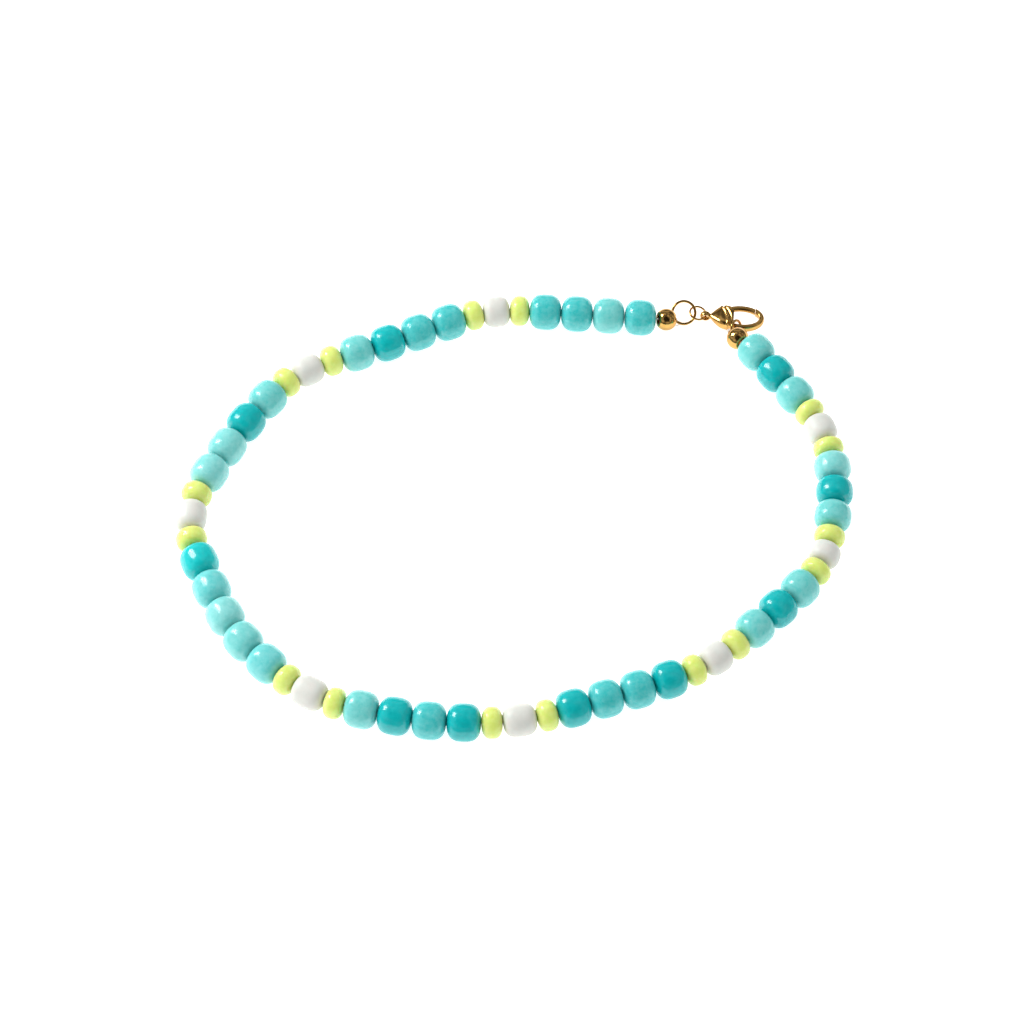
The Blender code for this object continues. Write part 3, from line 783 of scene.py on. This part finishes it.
@dataclass
class LobsterClasp:
    """The cast clasp with its eye and hook, the lever that closes it, and the lever's pin.

    Its own plane has its origin in the eye, X along the clasp and Z up. Sizes are in millimetres.
    """

    # Which way the clasp points as it lies, and where the lever's pin is in its own plane.
    heading: float = math.radians(-6.5)
    pivot: tuple = (4.687, 2.1, 0.0)
    # The drop-shaped body, with its shares of the half width and the half thickness at each station.
    half_width: float = 2.85
    half_thickness: float = 1.4
    stations: tuple = (0.80, 1.10, 1.62, 2.32, 3.22, 4.14, 4.70, 5.30, 5.90, 6.35)
    widths: tuple = (0.17, 0.19, 0.38, 0.62, 0.86, 0.98, 1.00, 0.98, 0.92, 0.78)
    thicknesses: tuple = (0.34, 0.38, 0.52, 0.70, 0.88, 0.98, 1.00, 0.98, 0.94, 0.84)
    squareness: tuple = (2.2, 2.2, 2.5, 3.1, 3.7, 4.0, 4.0, 3.6, 3.2, 3.0)
    drop_rows: int = 220
    drop_sides: int = 160
    # The rim's line across the body: where it is at the middle, its slant and its bow.
    rim: tuple = (4.72, -1.0, -0.75)
    rim_height: float = 0.17
    rim_half_width: float = 0.24
    groove_depth: float = 0.20
    groove_from_rim: float = 0.68
    groove_half_width: float = 0.34
    collar_height: float = 0.04
    collar_from_rim: float = 1.15
    # The hook and the lever's arm, two bars that share one oval.
    hook_middle: float = 8.1
    hook_reach: float = 4.45
    hook_half_width: float = 2.68
    hook_start: float = 212.0
    band_width: float = 1.26
    band_thickness: float = 1.8
    band_squareness: float = 3.0
    band_rows: int = 150
    band_sides: int = 40
    # Where on the oval the bars' meeting ends are looked for: from which angle to which, at how many places.
    cut_search: tuple = (30.0, 66.0, 1441)
    lever_thickness: float = 1.1
    lever_root: float = 138.0
    lever_reach: float = 6.36
    tip_gap: float = 0.05
    hub_radius: float = 0.85
    hub_squareness: float = 6.0
    hub_rows: int = 24
    hub_sides: int = 48
    tab_top: float = 3.05
    tab_half_width: float = 0.52
    tab_squareness: float = 3.0
    tab_sides: int = 40
    # The slot that the lever sits in, and the gate that is cut off in front of its cheeks.
    slot_gap: float = 0.12
    slot_back: float = 3.55
    slot_low: float = 1.05
    cheek_end: float = 5.7
    gate_low: float = 1.5
    # The cutters reach past the body, along it, across it and up.
    cutter_reach: tuple = (7.0, 5.0, 3.0)
    eye_radius: float = 0.97
    eye_wall: float = 0.25
    eye_half_width: float = 0.60
    eye_segments: int = 64
    eye_sides: int = 32
    pin_radius: float = 0.3
    pin_proud: float = 0.06
    pin_gap: float = 0.04
    # How much of the body's half thickness is left where the pin goes through it.
    pin_depth_share: float = 0.86
    pin_squareness: float = 5.0
    pin_rows: int = 40
    pin_sides: int = 32
    # Casting melts the shells into one skin of this fineness, which is then smoothed a number of times.
    voxel: float = 0.05
    smoothing: float = 0.5
    body_smoothings: int = 8
    lever_smoothings: int = 5

    def build(self, gold: bpy.types.Material) -> None:
        """Build the body, the lever and the pin.

        Args:
            gold: Their finish.
        """
        finished(self.body(gold), MAIN_BODY, "gold", "clasp_body")
        finished(self.lever(gold), LEVER_BODY, "gold", "clasp_lever")
        finished(self.pin(gold), MAIN_BODY, "gold", "lever_pin")

    def placed(self, points: np.ndarray) -> np.ndarray:
        """Carry points from the clasp's own plane to where its pin is, in metres.

        Args:
            points: Points in millimetres.

        Returns:
            Points in metres.
        """
        cosine, sine = math.cos(self.heading), math.sin(self.heading)
        turned = np.array([[cosine, -sine, 0.0], [sine, cosine, 0.0], [0.0, 0.0, 1.0]])
        pin = node_points("lever_pin")
        middle = (pin.min(axis=0) + pin.max(axis=0)) / 2
        return middle + (points - np.array(self.pivot)) @ turned.T * MM

    def drop(self) -> np.ndarray:
        """The body's drop shape.

        Along it run smooth curves of half width, half thickness and squareness, and round it goes a rounded
        square. Its surface is then raised at a rim that crosses it slantwise, sunk behind that, and raised
        again at a collar. Each is a bell curve of the distance past the rim's line, along the surface's own
        normal.

        Returns:
            A grid of points.
        """
        stations = np.array(self.stations)
        along = np.linspace(stations[0], stations[-1], self.drop_rows)[:, None]
        turn = np.linspace(0.0, 2 * math.pi, self.drop_sides, endpoint=False)[None, :]
        wide = self.half_width * smooth_values(along, stations, np.array(self.widths))
        thick = self.half_thickness * smooth_values(along, stations, np.array(self.thicknesses))
        square = smooth_values(along, stations, np.array(self.squareness))
        across, up = rounded(turn, square)
        side, height = wide * across, thick * up
        normal = np.stack([np.cos(turn) / wide, np.sin(turn) / thick], axis=-1)
        normal /= np.linalg.norm(normal, axis=-1, keepdims=True)
        share = np.clip(side / self.half_width, -1.0, 1.0)
        past = along - (self.rim[0] + self.rim[1] * share + self.rim[2] * share**2)
        rise = self.rim_height * np.exp(-((past / self.rim_half_width) ** 2))
        rise -= self.groove_depth * np.exp(-(((past - self.groove_from_rim) / self.groove_half_width) ** 2))
        rise += self.collar_height * np.exp(-(((past - self.collar_from_rim) / self.rim_half_width) ** 2))
        return np.stack([
            np.broadcast_to(along, side.shape), side + rise * normal[..., 0], height + rise * normal[..., 1]
        ], axis=-1)

    def band(self, first: float, last: float, thickness: float, cut: float, cut_last: bool) -> np.ndarray:
        """A bar along the hook's oval, one end of which lies on a circle round the lever's pin.

        A point is the oval's centre line, plus a rounded square across it and up. The angle runs from one
        end's to the other's, and at the cut end it is, for each point of the section, the one where the bar
        meets the circle.

        Args:
            first: The angle that the bar starts at, in degrees.
            last: The angle that it ends at.
            thickness: Its thickness.
            cut: The circle's radius.
            cut_last: Whether its last end is the cut one, otherwise its first.

        Returns:
            A grid of points.
        """
        turn = np.linspace(2 * math.pi, 0.0, self.band_sides, endpoint=False)
        out, up = rounded(turn, self.band_squareness)
        out = out * self.band_width / 2
        search = np.linspace(*self.cut_search)[:, None]
        spot, across = self.oval(search)
        reach = np.linalg.norm(spot + across * out[None, :, None] - np.array(self.pivot), axis=-1)
        cut_angles = search[np.abs(reach - cut).argmin(axis=0), 0]
        ends = (cut_angles, np.full_like(out, last))
        if cut_last:
            ends = (np.full_like(out, first), cut_angles + 360.0)
        share = np.linspace(0.0, 1.0, self.band_rows)[:, None]
        angles = ends[0] + (ends[1] - ends[0]) * share
        spot, across = self.oval(angles)
        points = spot + across * out[None, :, None]
        points[..., 2] += thickness / 2 * up[None, :]
        return points

    def oval(self, degrees: np.ndarray) -> tuple[np.ndarray, np.ndarray]:
        """The hook's oval centre line, an ellipse, and the way out across it.

        Args:
            degrees: Angles.

        Returns:
            Points and unit directions.
        """
        turn = np.radians(degrees)
        flat = np.zeros_like(turn)
        spot = np.stack([
            self.hook_middle + self.hook_reach * np.cos(turn), self.hook_half_width * np.sin(turn), flat
        ], axis=-1)
        out = np.stack([
            self.hook_half_width * np.cos(turn), self.hook_reach * np.sin(turn), flat
        ], axis=-1)
        return spot, out / np.linalg.norm(out, axis=-1, keepdims=True)

    def block(self, name: str, low: tuple, high: tuple, gold: bpy.types.Material) -> bpy.types.Object:
        """A box that cuts the body.

        Args:
            name: Its name.
            low: Its lowest corner.
            high: Its highest corner.
            gold: The finish that the cut gets.

        Returns:
            The box.
        """
        corners = np.array([(low[0], low[1]), (high[0], low[1]), (high[0], high[1]), (low[0], high[1])])
        grid = np.stack([np.column_stack([corners, np.full(4, level)]) for level in (low[2], high[2])])
        return grid_mesh(name, self.placed(grid), gold, row_loop=False)

    def body(self, gold: bpy.types.Material) -> bpy.types.Object:
        """Cast the body, the hook and the eye in one, with the lever's slot.

        Args:
            gold: Their finish.

        Returns:
            The body.
        """
        slot = self.lever_thickness / 2 + self.slot_gap
        drop = grid_mesh("drop", self.placed(self.drop()), gold, row_loop=False)
        far, side, top = self.cutter_reach
        slot_block = self.block("slot", (self.slot_back, self.slot_low, -slot), (far, side, slot), gold)
        gate_block = self.block("gate", (self.cheek_end, self.gate_low, -top), (far, side, top), gold)
        shaped(drop, [
            ("BOOLEAN", {"object": slot_block, "operation": "DIFFERENCE", "solver": "EXACT"}),
            ("BOOLEAN", {"object": gate_block, "operation": "DIFFERENCE", "solver": "EXACT"}),
        ])
        cut = self.lever_reach + self.tip_gap
        hook_grid = self.band(self.hook_start, 0.0, self.band_thickness, cut, True)
        hook = grid_mesh("hook", self.placed(hook_grid), gold, row_loop=False)
        turn = np.linspace(0.0, 2 * math.pi, self.eye_sides, endpoint=False)
        section = np.stack([
            self.eye_half_width * np.sin(turn), self.eye_radius + self.eye_wall * np.cos(turn)
        ], axis=-1)
        eye_grid = lathe(section, np.zeros(3), np.array([0.0, 1.0, 0.0]), self.eye_segments)
        eye = grid_mesh("eye", self.placed(eye_grid), gold)
        return self.cast("cast_clasp_body", [drop, hook, eye], self.body_smoothings)

    def lever(self, gold: bpy.types.Material) -> bpy.types.Object:
        """Make the lever: its arm, its hub drilled for the pin, and its thumb tab.

        Args:
            gold: Its finish.

        Returns:
            The lever.
        """
        pivot = np.array(self.pivot)
        upward = np.array([0.0, 0.0, 1.0])
        half = self.lever_thickness / 2
        arm_grid = self.band(0.0, self.lever_root, self.lever_thickness, self.lever_reach, False)
        arm = grid_mesh("arm", self.placed(arm_grid), gold, row_loop=False)
        bend = np.linspace(-math.pi / 2, math.pi / 2, self.hub_rows)
        out, up = rounded(bend, self.hub_squareness)
        hub_profile = np.stack([half * up, self.hub_radius * np.maximum(out, POLE)], axis=-1)
        hub_grid = lathe(hub_profile, pivot, upward, self.hub_sides)
        hub = grid_mesh("hub", self.placed(hub_grid), gold, row_loop=False)
        out, up = rounded(bend, self.tab_squareness)
        low = self.pivot[1]
        tab_profile = np.stack([(self.tab_top - low) / 2 * up, np.maximum(out, POLE)], axis=-1)
        tab_grid = lathe(tab_profile, np.zeros(3), np.array([0.0, 1.0, 0.0]), self.tab_sides)
        tab_grid *= np.array([self.tab_half_width, 1.0, half])
        tab_grid += np.array([self.pivot[0], (self.tab_top + low) / 2, 0.0])
        tab = grid_mesh("tab", self.placed(tab_grid), gold, row_loop=False)
        lever = self.cast("cast_clasp_lever", [arm, hub, tab], self.lever_smoothings)
        bore = self.pin_radius + self.pin_gap
        drill_profile = np.array([[-self.lever_thickness, bore], [self.lever_thickness, bore]])
        drill_grid = lathe(drill_profile, pivot, upward, self.hub_sides)
        drill = grid_mesh("drill", self.placed(drill_grid), gold, row_loop=False)
        return shaped(lever, [("BOOLEAN", {"object": drill, "operation": "DIFFERENCE", "solver": "EXACT"})])

    def pin(self, gold: bpy.types.Material) -> bpy.types.Object:
        """Make the pin, with domed heads.

        Args:
            gold: Its finish.

        Returns:
            The pin.
        """
        bend = np.linspace(-math.pi / 2, math.pi / 2, self.pin_rows)
        out, up = rounded(bend, self.pin_squareness)
        half = self.half_thickness * self.pin_depth_share + self.pin_proud
        profile = np.stack([half * up, self.pin_radius * np.maximum(out, POLE)], axis=-1)
        grid = lathe(profile, np.array(self.pivot), np.array([0.0, 0.0, 1.0]), self.pin_sides)
        return grid_mesh("riveted_lever_pin", self.placed(grid), gold, row_loop=False)

    def cast(self, name: str, shells: list[bpy.types.Object], times: int) -> bpy.types.Object:
        """Fuse closed shells into one skin and soften its edges.

        Args:
            name: The piece's name.
            shells: The shells, which are used up.
            times: How many times the skin is smoothed.

        Returns:
            The piece.
        """
        return shaped(join(name, shells), [
            ("REMESH", {"mode": "VOXEL", "voxel_size": self.voxel * MM}),
            ("SMOOTH", {"factor": self.smoothing, "iterations": times}),
        ])


# Thread


@dataclass
class ClearThread:
    """The clear line through the beads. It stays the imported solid, and gets its finish."""

    line: NylonLine = NylonLine()

    def build(self) -> None:
        """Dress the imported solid."""
        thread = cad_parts["thread"]
        thread.data.materials.clear()
        thread.data.materials.append(self.line.build())
        report.info("thread stays the packed solid, dressed as %s", self.line.name)


# Stage


@dataclass
class Studio:
    """The pale table, the soft light and the camera at the photo's angle."""

    target: Vector = field(default_factory=lambda: Vector((-0.555, -0.922, 4.0)) * MM)
    elevation: float = math.radians(56.78)
    roll: float = -0.01384
    distance: float = 676.9 * MM
    lens: float = 110.98
    sensor_width: float = 36.0
    clip: tuple = (0.01, 20.0)
    # An opal light table: it glows nearly white, so only a faint shadow is left round each bead.
    table_size: float = 4.0
    table_colour: str = "F4F4F4"
    table_light: str = "FFFFFF"
    table_roughness: float = 0.9
    table_gloss: float = 0.1
    table_glow: float = 0.75
    key_direction: tuple = (-0.656, 0.36, 0.648)
    key_distance: float = 0.75
    key_size: tuple = (0.27, 0.36)
    key_power: float = 4.8
    fill: float = 0.80
    # How bright the tent is on the side away from the key light, and on its own side.
    tent: tuple = (0.62, 1.18)
    # What the metal sees: the camera's opening is dark, with its edge between these cosines from its middle.
    opening_edge: tuple = (0.80, 0.92)
    opening_light: float = 0.06
    # The tent's foot is dark up to these heights.
    foot_edge: tuple = (0.03, 0.28)
    foot_light: float = 0.10
    # Dark cards hang in patches, this many to the tent's radius, with these edges and these lights.
    card_scale: float = 2.6
    card_detail: float = 3.0
    card_fineness: float = 0.55
    card_edge: tuple = (0.44, 0.56)
    card_light: tuple = (0.15, 0.86)

    def build(self) -> None:
        """Build the stage."""
        self.table()
        self.camera()
        self.key_light()
        self.surroundings()

    def table(self) -> None:
        """Lay the white table."""
        half = self.table_size / 2
        corners = [(-half, -half, 0), (half, -half, 0), (half, half, 0), (-half, half, 0)]
        mesh = bpy.data.meshes.new("table")
        mesh.from_pydata(corners, [], [(0, 1, 2, 3)])
        material, _, shader = new_material("acrylic_opal_light_table")
        set_shader(
            shader, base_color=linear(self.table_colour), roughness=self.table_roughness,
            specular_ior_level=self.table_gloss, emission_color=linear(self.table_light),
            emission_strength=self.table_glow,
        )
        mesh.materials.append(material)
        table = bpy.data.objects.new("table", mesh)
        bpy.context.scene.collection.objects.link(table)

    def camera(self) -> None:
        """Place the camera where the photo was taken from."""
        forward = Vector((0.0, math.cos(self.elevation), -math.sin(self.elevation)))
        right = Vector((1.0, 0.0, 0.0))
        upward = right.cross(forward)
        cosine, sine = math.cos(self.roll), math.sin(self.roll)
        right, upward = cosine * right + sine * upward, cosine * upward - sine * right
        data = bpy.data.cameras.new("photo_camera")
        data.lens = self.lens
        data.sensor_width = self.sensor_width
        data.clip_start, data.clip_end = self.clip
        made = bpy.data.objects.new("photo_camera", data)
        bpy.context.scene.collection.objects.link(made)
        turned = Matrix((right, upward, -forward)).transposed().to_4x4()
        made.matrix_world = Matrix.Translation(self.target - forward * self.distance) @ turned
        bpy.context.scene.camera = made

    def key_light(self) -> None:
        """Hang the soft box, up and to the left behind the necklace."""
        direction = Vector(self.key_direction).normalized()
        data = bpy.data.lights.new("soft_box", "AREA")
        data.shape = "RECTANGLE"
        data.size, data.size_y = self.key_size
        data.energy = self.key_power
        made = bpy.data.objects.new("soft_box", data)
        bpy.context.scene.collection.objects.link(made)
        made.matrix_world = (
            Matrix.Translation(self.target + direction * self.key_distance)
            @ direction.to_track_quat("Z", "Y").to_matrix().to_4x4()
        )

    def surroundings(self) -> None:
        """Put up a white tent, brightest on the key side, in which the metal also sees dark places."""
        world = bpy.data.worlds.new("white_tent")
        bpy.context.scene.world = world
        world.use_nodes = True
        tree = world.node_tree
        sky = add_node(tree, "ShaderNodeTexCoord").outputs["Generated"]
        path = add_node(tree, "ShaderNodeLightPath")

        key_side = add_node(tree, "ShaderNodeVectorMath", {0: sky}, operation="DOT_PRODUCT")
        key_side.inputs[1].default_value = Vector(self.key_direction).normalized()
        tent = add_node(
            tree, "ShaderNodeMapRange", {"Value": key_side.outputs["Value"]}, from_min=-1.0, from_max=1.0,
            to_min=self.tent[0], to_max=self.tent[1],
        )

        facing = add_node(tree, "ShaderNodeVectorMath", {0: sky}, operation="DOT_PRODUCT")
        facing.inputs[1].default_value = Vector((0.0, -math.cos(self.elevation), math.sin(self.elevation)))
        opening = add_node(
            tree, "ShaderNodeMapRange", {"Value": facing.outputs["Value"]}, from_min=self.opening_edge[0],
            from_max=self.opening_edge[1], to_min=1.0, to_max=self.opening_light,
        )
        height = add_node(tree, "ShaderNodeSeparateXYZ", {"Vector": sky})
        foot = add_node(
            tree, "ShaderNodeMapRange", {"Value": height.outputs["Z"]}, from_min=self.foot_edge[0],
            from_max=self.foot_edge[1], to_min=self.foot_light, to_max=1.0,
        )
        noise = add_node(
            tree, "ShaderNodeTexNoise", {"Vector": sky}, scale=self.card_scale, detail=self.card_detail,
            roughness=self.card_fineness,
        )
        cards = add_node(
            tree, "ShaderNodeMapRange", {"Value": noise.outputs["Fac"]}, from_min=self.card_edge[0],
            from_max=self.card_edge[1], to_min=self.card_light[0], to_max=self.card_light[1],
        )
        dimmed = add_node(
            tree, "ShaderNodeMath", {0: opening.outputs["Result"], 1: foot.outputs["Result"]},
            operation="MULTIPLY",
        )
        seen = add_node(
            tree, "ShaderNodeMath", {0: dimmed.outputs[0], 1: cards.outputs["Result"]}, operation="MULTIPLY"
        )

        sources = {"Factor": path.outputs["Is Glossy Ray"], "A": tent.outputs["Result"], "B": seen.outputs[0]}
        light = add_node(tree, "ShaderNodeMix", sources, data_type="FLOAT")
        shade = tree.nodes["Background"]
        tree.links.new(light.outputs["Result"], shade.inputs["Color"])
        shade.inputs["Strength"].default_value = self.fill


def main() -> None:
    """Build the necklace's pieces in order, and its stage."""
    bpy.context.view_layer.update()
    GlassString().build()
    gold = PlatedGold().build()
    GoldBeads().build(gold)
    WireRings().build(gold)
    LobsterClasp().build(gold)
    ClearThread().build()
    Studio().build()
    bpy.context.scene.view_settings.view_transform = "Standard"
    bpy.context.view_layer.update()


if __name__ == "__main__":
    main()
